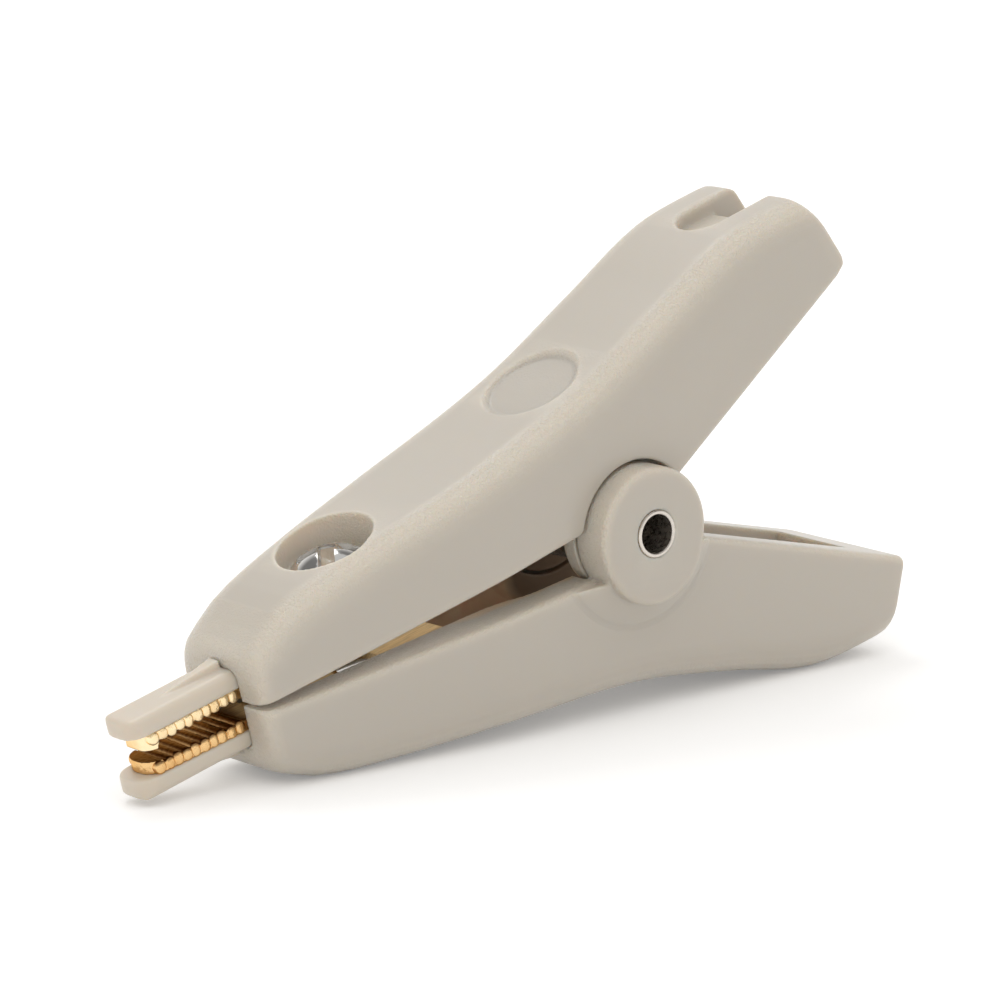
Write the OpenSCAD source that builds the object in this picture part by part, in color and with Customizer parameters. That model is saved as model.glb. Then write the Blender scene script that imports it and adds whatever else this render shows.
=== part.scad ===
// Sprung clip with two insulated, toothed contacts for four-wire resistance measurement.
// It rests on its lower handle, nose towards -X, with the hinge axis along Y through the origin.
// Each half is drawn in its own frame: x along the clip, z outwards from the closing plane.

/* [Handle outline] */
// Hinge axis to the front face of the nose
nose_l = 38.5; // [36.5:0.1:40]
// Height of the back over the closing plane at the front face
nose_h = 5.8; // [5.2:0.1:6.2]
// Distance of the brow, where the nose rounds off, ahead of the hinge
brow_x = 34; // [32:0.5:35]
// Height of the brow
brow_h = 8.2; // [7.6:0.1:8.6]
// Distance of the cheek ahead of the hinge
cheek_x = 26; // [23:0.5:29]
// Height of the cheek
cheek_h = 9.9; // [9.4:0.1:10.4]
// Distance of the flank ahead of the hinge
flank_x = 14; // [11:0.5:17]
// Height of the flank
flank_h = 11.7; // [11.2:0.1:12.2]
// Distance of the waist ahead of the hinge
waist_x = 2; // [0:0.5:5]
// Height of the waist
waist_h = 13.8; // [13.2:0.1:14.4]
// Distance of the hip behind the hinge
hip_x = 8; // [6:0.5:10]
// Height of the hip
hip_h = 17.2; // [16.6:0.1:17.8]
// Distance of the tail hump behind the hinge
hump_x = 17; // [15:0.5:19]
// Height of the tail hump
hump_h = 20.7; // [20.2:0.1:21.2]
// Distance of the heel, the outer end of the tail, behind the hinge
heel_x = 25.3; // [24.8:0.1:26]
// Height of the heel
heel_h = 21.3; // [20.8:0.1:21.8]

/* [Handle width] */
// Width of the handles behind the nose taper
handle_w = 15.2; // [14.4:0.1:16]
// Width of the nose at its front face
nose_w = 11.2; // [10.6:0.1:11.8]
// Where the nose starts to taper in plan, ahead of the hinge
taper_x = 16; // [13:0.5:20]
// Fillet between the back and the sides
edge_r = 3; // [2:0.1:3.6]
// Rounding of the upright edges of the nose
nose_r = 1.2; // [0.9:0.1:1.8]
// Rounding between the back and the front face of the nose
brow_r = 0.9; // [0.5:0.1:1.4]
// Rounding of the tail ends
tail_r = 0.8; // [0.5:0.1:1.4]
// Rounding of the inner corner of the upper tail
upper_tip_r = 1.2; // [0.8:0.1:1.4]
// Rounding of the inner corner of the lower tail
lower_tip_r = 0.6; // [0.4:0.1:1]
// Rounding of the rims, where the two halves face each other
rim_r = 0.7; // [0.4:0.1:1.2]
// How much flatter the upper half is than the lower, at its ends
upper_drop = 1.35; // [1:0.05:1.5]
// How much flatter it is at the waist and the hip
waist_drop = 0.95; // [0.6:0.05:1.2]

/* [Mouth and tails] */
// Height of the upper jaw edge over the closing plane at the nose
upper_mouth = 0.2; // [0.15:0.05:0.6]
// Slope of the upper jaw edge, in degrees
upper_jaw_a = 2.65; // [2:0.05:3.5]
// Slope of the upper tail edge, in degrees
upper_tail_a = 24.6; // [24:0.1:25.6]
// Length of the upper tail from the hinge
upper_tail_l = 31.1; // [30.4:0.1:31.8]
// Height of the lower jaw edge under the closing plane at the nose
lower_mouth = 0.15; // [0.1:0.05:0.5]
// Slope of the lower jaw edge, in degrees
lower_jaw_a = 4.05; // [3.5:0.05:5]
// Slope of the lower tail edge, in degrees
lower_tail_a = 27.3; // [26:0.1:28.5]
// Length of the lower tail from the hinge
lower_tail_l = 32.2; // [31.4:0.1:33]

/* [Hollow] */
// Thickness of the back of each handle
back_t = 2; // [1.6:0.1:2.4]
// Thickness of the front wall of the nose
front_t = 2; // [1.5:0.1:3]
// Thickness of the end wall of the tail
end_t = 4.6; // [3.5:0.1:5.5]
// Width of the hollow at the hinge and in the tail
hollow_w = 8.8; // [8.4:0.1:9.4]
// Width of the hollow in the nose
hollow_nose_w = 6.8; // [6.2:0.1:7.4]
// Where the hollow of the nose starts to widen, ahead of the hinge
hollow_taper_x = 14; // [11:0.5:16]
// Width of the cable notch in the tail
notch_w = 4.6; // [4:0.1:5]
// Rounding of the edges of the notch
notch_r = 0.6; // [0.3:0.1:1]
// Distance of the centre of the round end of the notch behind the hinge
notch_x = 19.5; // [19:0.1:20]
// Depth of the shelf at the round end of the notch
shelf_depth = 1.4; // [1.1:0.1:1.5]
// Length of that shelf
shelf_l = 3; // [2:0.1:3.4]

/* [Hinge] */
// Outside diameter of the hinge tube
tube_d = 4; // [3.6:0.1:4.4]
// Bore of the hinge tube
tube_bore_d = 3.3; // [2.8:0.1:3.4]
// How far the tube stands out of each boss
tube_proud = 0.1; // [0.05:0.05:0.3]
// Radial running clearance of the tube in the upper ears
tube_clear = 0.05; // [0.02:0.01:0.08]
// Diameter of the round bosses on the lower handle
boss_d = 11.2; // [10.6:0.1:11.8]
// How much further the bosses reach down the sides than up
boss_sag = 0.6; // [0.3:0.1:0.8]
// How much narrower their lower lobe is than the bosses, in radius
lobe_in = 0.4; // [0.3:0.1:0.6]
// Rounding of the face of the bosses
boss_round = 0.6; // [0.4:0.1:0.9]
// How far the bosses stand out of the sides
boss_proud = 2.3; // [2:0.1:2.6]
// How far the ears of the upper handle lie inside its sides
ear_in = 1.7; // [1.4:0.1:1.9]
// How far the cone round a boss spreads at the side
flare = 2.6; // [2.2:0.1:2.8]
// How far that cone climbs up the boss
flare_h = 1.1; // [0.8:0.1:1.4]
// Clearance between the two handles at the hinge
hinge_clear = 0.32; // [0.3:0.01:0.4]

/* [Jaws] */
// Hinge axis to the tip of the backings
tip_l = 49.2; // [48.4:0.1:50]
// How far the contacts stop short of the tip
tip_setback = 1.2; // [0.8:0.1:1.6]
// Gap between the two contacts at their tips
tip_gap = 0.36; // [0.3:0.02:0.6]
// Slope of the upper finger out of the bite, in degrees
upper_slope = -0.3; // [-0.6:0.1:0.4]
// Slope of the lower finger out of the bite, in degrees
lower_slope = 1.6; // [1.2:0.1:1.9]
// Slope of the plane the contacts close on to the middle of the handles, in degrees
bite_a = 0.6; // [0.3:0.1:0.9]
// Width of the backings ahead of the nose
backing_w = 4.4; // [4:0.1:5]
// Width of the backings and contacts inside the nose
pad_w = 5.8; // [5.4:0.1:6.2]
// Thickness of the backings
backing_t = 1.6; // [1.4:0.05:1.8]
// Rounding of the backings at the tip
backing_r = 1.7; // [1.4:0.1:1.9]
// Inner end of the backings, ahead of the hinge
backing_end_x = 21; // [19:0.5:22.5]
// Width of the rib on a backing, at the nose
rib_w = 1.5; // [1:0.1:2]
// Height of the rib at the nose
rib_h = 0.8; // [0.5:0.1:1.1]
// Length of the rib
rib_l = 6.6; // [5:0.1:8]
// Gap between the end of the rib and the nose
rib_gap = 0.1; // [0.1:0.1:0.6]
// Rounding of the long outer edges of a finger
finger_r = 0.9; // [0.5:0.1:1.1]
// Rounding of the outer edge of the tip
tip_round = 0.7; // [0.3:0.1:0.9]
// Width of the contacts ahead of the nose
contact_w = 3.9; // [3.5:0.1:4.2]
// Thickness of the contacts
contact_t = 0.95; // [0.85:0.05:1.1]
// How far the lip at the tip of a contact stands over its teeth
lip_h = 0.6; // [0.3:0.05:0.7]
// Length of that lip
lip_l = 1.5; // [1.1:0.1:2]
// Rounding of that lip
lip_r = 0.45; // [0.2:0.05:0.6]
// How far a contact steps outwards inside the nose
pad_step = 0.8; // [0.5:0.05:0.9]
// Inner end of the contacts, ahead of the hinge
contact_end_x = 17.1; // [16:0.1:18.5]
// Number of teeth on each contact
teeth = 9; // [7:1:11]
// Depth of the grooves between the teeth
tooth_depth = 0.28; // [0.2:0.02:0.4]
// Clearance round a backing in the nose slot
slot_clear = 0.05; // [0.03:0.01:0.12]

/* [Screws] */
// Distance of the screws ahead of the hinge
screw_x = 25.7; // [25.4:0.1:26.4]
// Thread diameter
screw_d = 3; // [2.6:0.1:3.2]
// Radial clearance of the screw in the handle and the backing
screw_clear = 0.15; // [0.1:0.01:0.2]
// Head diameter
head_d = 6.4; // [5.8:0.1:6.8]
// Head height
head_h = 2; // [1.6:0.1:2.3]
// Height of the straight rim of the head, under its dome
head_rim_h = 1; // [0.8:0.1:1.3]
// Width of each slot of the cross in the head
cross_w = 1.4; // [1:0.1:1.6]
// Length of each slot of the cross
cross_l = 5.2; // [4.4:0.1:5.6]
// Depth of the cross
cross_depth = 1.1; // [0.8:0.1:1.3]
// Turn of the cross, in degrees
cross_a = 50; // [0:1:89]
// Diameter of the recess for the head
recess_d = 8.3; // [7.6:0.1:8.6]
// Plastic left between the head and the backing
seat_t = 3.1; // [2.7:0.1:3.3]
// Wall round the recess
recess_wall = 1; // [0.8:0.1:1.2]
// How far the screw ends inside the contact
screw_in = 0.2; // [0.1:0.05:0.3]
// Diameter of the countersink of the tapped hole
sink_d = 4.2; // [3.6:0.1:4.6]
// Depth of that countersink
sink_depth = 0.5; // [0.3:0.05:0.6]

/* [Spring] */
// Wire diameter
wire_d = 1; // [0.8:0.05:1.1]
// Mean diameter of the coil
coil_d = 6.6; // [6.2:0.1:7]
// Gap between the turns of the coil
coil_gap = 0.1; // [0.05:0.01:0.15]
// Turns in the coil
coil_turns = 4.5; // [4.5:1:5.5]
// Slope of the legs to the middle of the clip, in degrees
leg_a = 45; // [42:1:48]
// Gap between the upper leg and the back it pushes on
leg_clear = 0.3; // [0.2:0.05:0.5]
// How far the lower leg bites into the back it pushes on
leg_bite = 0.03; // [0.02:0.01:0.05]

/* [Thumb dimple] */
// Diameter of the dimple on the back
dimple_d = 8.6; // [7.6:0.1:9.4]
// Depth of the dimple
dimple_depth = 0.3; // [0.2:0.05:0.5]
// Width of the sloping edge of the dimple
dimple_edge = 0.4; // [0.2:0.05:0.6]

/* [Hidden] */
$fn = 64;

// Colours of the finishes
grey_plastic = [0.74, 0.72, 0.66];
ivory_plastic = [0.86, 0.83, 0.77];
gold_plate = [0.83, 0.62, 0.22];
plated_steel = [0.78, 0.78, 0.78];
spring_steel = [0.62, 0.63, 0.64];

// Values that follow from the sizes above
eps = 0.01;
side = handle_w / 2;
boss_face = side + boss_proud;
boss_r = boss_d / 2;
tube_r = tube_d / 2;
ear_r = boss_r;
ear_face = side - ear_in;
ear_room = ear_face + hinge_clear;
ear_swing_r = ear_r + hinge_clear;
slot_w = backing_w + 2 * slot_clear;
pad_slot_w = pad_w + 2 * slot_clear;
hollow_mouth = 2 * ear_r;
hollow_taper_l = 3;
hollow_corner = 1;
overlap = 1;
rim_share = 0.25;
flare_drop = 0.2;
fillet_steps = 6;
rim_steps = 3;
end_steps = 5;
jaw_steps = 22;
tail_steps = 16;

// Knots of the back of a half, from the nose to the heel
function back_knots(half) =
    let (drop = half[4], waist = half[5])
    [
        [-nose_l, nose_h - drop], [-brow_x, brow_h - drop],
        [-cheek_x, cheek_h - drop], [-flank_x, flank_h - drop],
        [-waist_x, waist_h - waist], [hip_x, hip_h - waist],
        [hump_x, hump_h - drop], [heel_x, heel_h - drop]
    ];

// One record per half: mouth height at the nose, jaw slope, tail slope, tail length,
// drop of the back at its ends and at its waist, slope of the bite, slope of its finger,
// rounding of the inner corner of its tail
upper_half = [
    upper_mouth, upper_jaw_a, upper_tail_a, upper_tail_l, upper_drop, waist_drop,
    bite_a, upper_slope, upper_tip_r
];
lower_half = [
    lower_mouth, lower_jaw_a, lower_tail_a, lower_tail_l, 0, 0,
    -bite_a, lower_slope, lower_tip_r
];

function mix(a, b, t) = a + (b - a) * t;

// Slope of a knot list at knot i, from its neighbours
function knot_slope(k, i) =
    let (a = k[max(i - 1, 0)], b = k[min(i + 1, len(k) - 1)])
    (b[1] - a[1]) / (b[0] - a[0]);

// Cubic between two knots with given slopes
function cubic(p, q, mp, mq, x) =
    let (h = q[0] - p[0], t = (x - p[0]) / h)
    (2 * t * t * t - 3 * t * t + 1) * p[1] + (t * t * t - 2 * t * t + t) * h * mp
    + (3 * t * t - 2 * t * t * t) * q[1] + (t * t * t - t * t) * h * mq;

// Height of the back of a half over the closing plane at x
function back_z(half, x) =
    let (k = back_knots(half), i = max([for (j = [0:len(k) - 2]) if (j == 0 || x >= k[j][0]) j]))
    cubic(k[i], k[i + 1], knot_slope(k, i), knot_slope(k, i + 1), x);

// Half the width of a handle at x
function half_width(x) =
    x > -taper_x ? side : mix(side, nose_w / 2, (-taper_x - x) / (nose_l - taper_x));

// Height of the jaw edge of a half at x
function jaw_z(half, x) = half[0] + (x + nose_l) * tan(half[1]);

// Knee of a half, where its jaw edge meets its tail edge
function knee(half) =
    let (x = (half[0] + nose_l * tan(half[1])) / (tan(half[2]) - tan(half[1])))
    [x, x * tan(half[2])];

// Inner tip of the tail of a half
function tail_tip(half) = [half[3] * cos(half[2]), half[3] * sin(half[2])];

// Inset of a rounded edge of radius r at a distance d from its end face
function round_in(d, r) = d >= r ? 0 : r - sqrt(r * r - (r - d) * (r - d));

// Stations of a half from nose to tail: [inner point, outer point, half width]
function stations(half) =
    let (
        k = knee(half),
        tip = tail_tip(half),
        start = [-nose_l, jaw_z(half, -nose_l)],
        over_knee = k[0] - (waist_h - k[1]) * tan((half[1] + half[2]) / 2),
        end_turn = 90 / end_steps,
        nose_d = concat(
            [for (i = [0:end_steps - 1]) nose_r * (1 - cos(i * end_turn))],
            [for (i = [1:jaw_steps]) mix(nose_r, over_knee + nose_l, (i - 0.5) / jaw_steps)]
        ),
        tail_d = concat(
            [for (i = [tail_steps - 1:-1:0]) mix(tail_r, heel_x - over_knee, (i + 0.5) / tail_steps)],
            [for (i = [end_steps - 1:-1:0]) tail_r * (1 - cos(i * end_turn))]
        )
    )
    concat(
        [for (d = nose_d)
            let (
                x = d - nose_l,
                u = d / (over_knee + nose_l),
                p = mix(start, k, u)
            )
            [p, [x, back_z(half, x) - round_in(d, brow_r)], half_width(x) - round_in(d, nose_r)]],
        [for (d = tail_d)
            let (
                x = heel_x - d,
                v = 1 - d / (heel_x - over_knee),
                inset = round_in(d, tail_r),
                q = [x, back_z(half, x)],
                p = mix(k, tip, v),
                out = (q - p) / norm(q - p)
            )
            [p + out * round_in(d, half[8]), q - out * inset, side - inset]]
    );

// Section of a handle at a station: a small rounding at the rim, a fillet at the back
function shell_ring(s) =
    let (
        h = norm(s[1] - s[0]),
        out = (s[1] - s[0]) / h,
        w = s[2],
        q = min(rim_r, h * rim_share),
        r = min(edge_r, w - eps, h - q - eps),
        arc = concat(
            [for (i = [0:rim_steps])
                let (a = i * 90 / rim_steps) [w - q + q * sin(a), q - q * cos(a)]],
            [for (i = [0:fillet_steps])
                let (a = i * 90 / fillet_steps) [w - r + r * cos(a), h - r + r * sin(a)]]
        ),
        outline = concat([for (p = arc) [-p[0], p[1]]], [for (i = [len(arc) - 1:-1:0]) arc[i]])
    )
    [for (p = outline) [s[0][0] + out[0] * p[1], p[0], s[0][1] + out[1] * p[1]]];

// Half the width of the hollow at x
function hollow_half(x) =
    mix(hollow_nose_w, hollow_w, min(max((x + hollow_taper_x) / hollow_taper_l, 0), 1)) / 2;

// Section of the hollow at a station, open through the inner edge
function hollow_ring(s) =
    let (
        h = norm(s[1] - s[0]),
        out = (s[1] - s[0]) / h,
        w = hollow_half((s[0][0] + s[1][0]) / 2),
        top = h - back_t,
        c = min(hollow_corner, top / 2),
        m = -hollow_mouth,
        outline = [[-w, m], [-w, top - c], [c - w, top], [w - c, top], [w, top - c], [w, m]]
    )
    [for (p = outline) [s[0][0] + out[0] * p[1], p[0], s[0][1] + out[1] * p[1]]];

// Solid through a list of rings with the same number of points
module loft(rings) {
    n = len(rings[0]);
    last = len(rings) - 1;
    walls = [for (i = [0:last - 1], j = [0:n - 1])
        let (a = i * n + j, b = i * n + (j + 1) % n)
        each [[a, b, b + n], [a, b + n, a + n]]];
    near = [[for (j = [n - 1:-1:0]) j]];
    far = [[for (j = [0:n - 1]) last * n + j]];
    polyhedron([for (ring = rings) each ring], concat(near, walls, far));
}

// Cylinder about the hinge axis, from y0 to y1
module on_hinge(r, y0, y1) {
    translate([0, y1, 0]) rotate([90, 0, 0]) cylinder(r = r, h = y1 - y0);
}

// The same on both sides of the middle plane
module both_sides() {
    children();
    mirror([0, 1, 0]) children();
}

// Plan outline of a finger with a rounded tip at x = 0, reaching back to x = l
module finger(l, w, r) {
    for (s = [-1, 1]) translate([r, s * (w / 2 - r)]) circle(r);
    translate([r, -w / 2]) square([l - r, w]);
    translate([0, r - w / 2]) square([r, w - 2 * r]);
}

// Side outline, drawn in x and z, spread to both sides of the middle plane
module across(w) {
    translate([0, w / 2, 0]) rotate([90, 0, 0]) linear_extrude(w) children();
}

// Frame of a jaw: x from the tip inwards, z outwards from the biting face
module jaw_frame(half) {
    rotate([0, -half[6], 0]) translate([-tip_l, 0, tip_gap / 2]) rotate([0, -half[7], 0]) children();
}

// Distances along the jaw frame
jaw_nose_x = tip_l - nose_l;
jaw_pad_x = jaw_nose_x + front_t;
jaw_screw_x = tip_l - screw_x;
jaw_backing_l = tip_l - backing_end_x;
jaw_contact_l = tip_l - contact_end_x;
contact_z = lip_h + contact_t;
backing_z = contact_z + backing_t;
seat_z = backing_z + seat_t;

// Plan of a backing or contact: a finger from its tip at x0, wider inside the nose
module jaw_plan(x0, l, w, r) {
    translate([x0, 0]) finger(l - x0, w, r);
    translate([jaw_pad_x + slot_clear, -pad_w / 2]) square([l - jaw_pad_x - slot_clear, pad_w]);
}

// Section of a finger of a width, with rounded outer edges, reaching down to z = -low
module finger_section(w, low) {
    flat_w = w - 2 * finger_r;
    translate([-w / 2, -low]) square([w, low + backing_z - finger_r]);
    translate([-flat_w / 2, -low]) square([flat_w, low + backing_z]);
    for (y = [-1, 1]) translate([y * flat_w / 2, backing_z - finger_r]) circle(finger_r);
}

// Ivory finger that carries a contact
module jaw_backing_shape() {
    rib_x = jaw_nose_x - rib_gap;
    tip_edge = [for (a = [0:22.5:90])
        [tip_round * (1 - cos(a)), backing_z - tip_round * (1 - sin(a))]];
    difference() {
        union() {
            intersection() {
                linear_extrude(backing_z + overlap) jaw_plan(0, jaw_backing_l, backing_w, backing_r);
                across(pad_w) polygon(concat(
                    tip_edge, [[jaw_backing_l, backing_z], [jaw_backing_l, contact_z + pad_step]],
                    [[jaw_pad_x + pad_step, contact_z + pad_step], [jaw_pad_x, contact_z], [0, contact_z]]
                ));
                union() {
                    rotate([90, 0, 90]) linear_extrude(jaw_pad_x) finger_section(backing_w, 0);
                    translate([jaw_pad_x - eps, -pad_w / 2, 0])
                        cube([jaw_backing_l - jaw_pad_x + overlap, pad_w, backing_z + overlap]);
                }
            }
            intersection() {
                across(rib_w) polygon([
                    [rib_x - rib_l, contact_z], [rib_x, contact_z],
                    [rib_x, backing_z + rib_h], [rib_x - rib_l, backing_z]
                ]);
                linear_extrude(backing_z + rib_h) polygon([
                    [rib_x - rib_l, 0], [rib_x, -rib_w / 2], [rib_x, rib_w / 2]
                ]);
            }
        }
        translate([jaw_screw_x, 0, 0]) cylinder(r = screw_d / 2 + screw_clear, h = seat_z);
    }
}

// Toothed bar with a smooth lip at its tip, tapped for its screw
module contact_shape() {
    teeth_x = tip_setback + lip_l;
    pitch = (jaw_nose_x - teeth_x) / teeth;
    lip = [for (a = [0:30:90]) [tip_setback + lip_r * (1 - cos(a)), lip_r * (1 - sin(a))]];
    bite = [for (i = [0:teeth - 1], a = [0:45:135])
        [teeth_x + pitch * (i + (1 - cos(a)) / 2), lip_h + tooth_depth * (1 - sin(a))]];
    difference() {
        intersection() {
            linear_extrude(contact_z + pad_step) jaw_plan(tip_setback, jaw_contact_l, contact_w, backing_r);
            across(pad_w) polygon(concat(
                [[tip_setback, contact_z]], lip, [[teeth_x - lip_h / 2, 0]], bite,
                [[jaw_nose_x, lip_h], [jaw_pad_x, lip_h], [jaw_pad_x + pad_step, lip_h + pad_step]],
                [[jaw_contact_l, lip_h + pad_step], [jaw_contact_l, contact_z + pad_step]],
                [[jaw_pad_x + pad_step, contact_z + pad_step], [jaw_pad_x, contact_z]]
            ));
        }
        translate([jaw_screw_x, 0, 0]) {
            cylinder(d = screw_d, h = seat_z);
            translate([0, 0, lip_h + pad_step]) cylinder(d1 = sink_d, d2 = screw_d, h = sink_depth);
        }
    }
}

// Pan head screw with a cross recess
module screw_shape() {
    head_r = head_d / 2;
    crown = head_h - head_rim_h;
    dome_r = (head_r * head_r + crown * crown) / (2 * crown);
    end_z = lip_h + pad_step + screw_in;
    translate([jaw_screw_x, 0, 0]) difference() {
        union() {
            translate([0, 0, seat_z]) rotate_extrude() intersection() {
                square([head_r, head_h]);
                union() {
                    square([head_r, head_rim_h]);
                    translate([0, head_h - dome_r]) circle(dome_r);
                }
            }
            translate([0, 0, end_z]) cylinder(d = screw_d, h = seat_z - end_z);
        }
        for (a = [0, 90]) rotate([0, 0, cross_a + a])
            translate([-cross_l / 2, -cross_w / 2, seat_z + head_h - cross_depth])
                cube([cross_l, cross_w, head_h]);
    }
}

// Moulded body of a half, before anything is cut out of it
module body(half) {
    loft([for (p = stations(half)) shell_ring(p)]);
}

// All that is cut out of a half: hollow, jaw slot, screw hole and recess, dimple and cable notch
module cuts(half) {
    reach = heel_h + overlap;
    difference() {
        loft([for (p = stations(half))
            if (p[1][0] > front_t - nose_l && norm(p[0] - tail_tip(half)) > end_t) hollow_ring(p)]);
        jaw_frame(half) translate([jaw_screw_x, 0, backing_z - slot_clear])
            cylinder(d = recess_d + 2 * recess_wall, h = reach);
    }
    jaw_frame(half) {
        rotate([90, 0, 90]) linear_extrude(jaw_pad_x + eps) finger_section(slot_w, reach);
        translate([jaw_pad_x, -pad_slot_w / 2, -reach])
            cube([jaw_contact_l + slot_clear - jaw_pad_x, pad_slot_w, reach + backing_z]);
    }
    jaw_frame(half) translate([jaw_screw_x, 0, 0]) {
        cylinder(r = screw_d / 2 + screw_clear, h = reach);
        translate([0, 0, seat_z]) cylinder(d = recess_d, h = reach);
    }
    dimple_cut(half);
    notch_cut(half);
}

// Shallow round dish under the thumb, with a sloping edge
module dimple_cut(half) {
    a = atan(knot_slope(back_knots(half), 4));
    grow = dimple_edge * (dimple_depth + overlap) / dimple_depth;
    translate([-waist_x, 0, back_z(half, -waist_x) - dimple_depth]) rotate([0, -a, 0])
        cylinder(r1 = dimple_d / 2 - dimple_edge, r2 = dimple_d / 2 - dimple_edge + grow,
            h = dimple_depth + overlap);
}

// Section of the cable notch: its edges are rounded where they meet the back
module notch_outline(depth) {
    wide = notch_w / 2 + notch_r;
    translate([-notch_w / 2, -depth]) square([notch_w, depth + overlap]);
    difference() {
        translate([-wide, -notch_r]) square([2 * wide, notch_r + overlap]);
        for (s = [-1, 1]) translate([s * wide, -notch_r]) circle(notch_r);
    }
}

// Slot that lets the cable out of the tail
module notch_cut(half) {
    tip = tail_tip(half);
    top = back_z(half, notch_x);
    depth = top - tip[1] - tail_r;
    slope = atan((back_z(half, heel_x) - top) / (heel_x - notch_x));
    reach = tip[0] - notch_x + 2 * tail_r;
    translate([notch_x, 0, top]) rotate([0, -slope, 0]) {
        rotate_extrude() intersection() {
            notch_outline(shelf_depth);
            translate([0, -shelf_depth]) square([notch_w / 2 + notch_r, shelf_depth + overlap]);
        }
        rotate([90, 0, 90]) linear_extrude(reach) notch_outline(shelf_depth);
        translate([shelf_l, -notch_w / 2, -depth]) cube([reach - shelf_l, notch_w, depth]);
    }
}

// Upper half: its walls run down into two ears between the bosses
module upper_handle_shape() {
    difference() {
        union() {
            body(upper_half);
            on_hinge(ear_r, -ear_face - overlap, ear_face + overlap);
        }
        cuts(upper_half);
        both_sides() on_hinge(ear_swing_r, -boss_face, -ear_face);
        on_hinge(tube_r + tube_clear, -boss_face, boss_face);
    }
}

// Everything on the solid side of the edges of a half, in x and z
module below_edges(half) {
    k = knee(half);
    tip = tail_tip(half);
    translate([0, flare_drop]) polygon([
        [-nose_l, jaw_z(half, -nose_l)], k, tip, [heel_x, heel_h], [-waist_x, waist_h], [-nose_l, nose_h]
    ]);
}

// Lower half: two round bosses stand out of its sides and hold the tube
module lower_handle_shape() {
    difference() {
        union() {
            body(lower_half);
            both_sides() {
                rotate([90, 0, 0]) rotate_extrude() boss_outline(boss_r);
                translate([0, 0, boss_sag + lobe_in]) rotate([90, 0, 0])
                    rotate_extrude() boss_outline(boss_r - lobe_in);
            }
            both_sides() intersection() {
                rotate([90, 0, 0]) rotate_extrude() flare_outline();
                across(2 * boss_face) below_edges(lower_half);
            }
        }
        cuts(lower_half);
        on_hinge(ear_swing_r, -ear_room, ear_room);
        on_hinge(tube_r, -boss_face - overlap, boss_face + overlap);
    }
}

// Half section of a boss of radius r, out from its axis, with its rounded face
module boss_outline(r) {
    boss_l = boss_face - ear_face;
    translate([0, ear_face]) {
        square([r - boss_round, boss_l]);
        square([r, boss_l - boss_round]);
    }
    translate([r - boss_round, boss_face - boss_round]) circle(boss_round);
}

// Half section of the cone that carries a boss on the side
module flare_outline() {
    polygon([
        [0, side - overlap], [boss_r + flare, side - overlap], [boss_r + flare, side],
        [boss_r - eps, side + flare_h], [0, side + flare_h]
    ]);
}

// Turned spring wire: a leg, the coil about the hinge axis, the other leg
coil_r = coil_d / 2;
coil_pitch = wire_d + coil_gap;
coil_half = coil_turns * coil_pitch / 2;
wire_sides = 8;
turn_steps = 14;

// Point of the coil at an angle, drawn in x and z, advancing along y
function coil_point(a, y) = [coil_r * cos(a), y, coil_r * sin(a)];

// Length of a leg from the coil until its side is a gap away from the back of a half
function leg_gap(half, l) =
    let (x = l * cos(leg_a) - coil_r * sin(leg_a), z = l * sin(leg_a) + coil_r * cos(leg_a))
    (back_z(half, x) - back_t - z) * cos(atan(knot_slope(back_knots(half), 5))) - wire_d / 2;
function leg_l(half, gap, lo, hi, n) =
    let (l = (lo + hi) / 2)
    n == 0 ? l
    : leg_gap(half, l) > gap ? leg_l(half, gap, l, hi, n - 1)
    : leg_l(half, gap, lo, l, n - 1);

function spring_path() =
    let (
        turn = 360 * round(coil_turns - 0.5) + 180 - 2 * leg_a,
        steps = round(coil_turns * turn_steps),
        coil = [for (i = [0:steps])
            coil_point(90 + leg_a + i * turn / steps, mix(coil_half, -coil_half, i / steps))],
        up_l = leg_l(upper_half, leg_clear, 0, heel_x, 30),
        down_l = leg_l(lower_half, -leg_bite, 0, heel_x, 30)
    )
    concat(
        [coil[0] + [cos(leg_a), 0, sin(leg_a)] * up_l], coil,
        [coil[steps] + [cos(leg_a), 0, -sin(leg_a)] * down_l]
    );

// Ring of a round wire at point i of a path
function wire_ring(path, i) =
    let (
        a = path[max(i - 1, 0)],
        b = path[min(i + 1, len(path) - 1)],
        d = (b - a) / norm(b - a),
        v = cross(d, [0, 1, 0]),
        side_dir = v / norm(v),
        up = cross(side_dir, d)
    )
    [for (j = [0:wire_sides - 1])
        let (t = 360 * j / wire_sides)
        path[i] + (side_dir * cos(t) + up * sin(t)) * wire_d / 2];

module spring_shape() {
    path = spring_path();
    loft([for (i = [0:len(path) - 1]) wire_ring(path, i)]);
}

// Tilt at which the lower handle touches the ground with both its nose and its tail
function lowest(points, a) = min([for (p = points) p[0] * sin(a) - p[1] * cos(a)]);
function ground_tilt(fore, aft, lo, hi, n) =
    let (a = (lo + hi) / 2)
    n == 0 ? a
    : lowest(fore, a) < lowest(aft, a) ? ground_tilt(fore, aft, lo, a, n - 1)
    : ground_tilt(fore, aft, a, hi, n - 1);
lower_back = [for (s = stations(lower_half)) s[1]];
rest_tilt = ground_tilt(
    [for (p = lower_back) if (p[0] < 0) p], [for (p = lower_back) if (p[0] > 0) p], 0, 40, 30
);

// Pose of the clip on the ground
module at_rest() {
    rotate([0, -rest_tilt, 0]) children();
}

// The lower half lies under the closing plane
module under() {
    mirror([0, 0, 1]) children();
}

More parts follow.
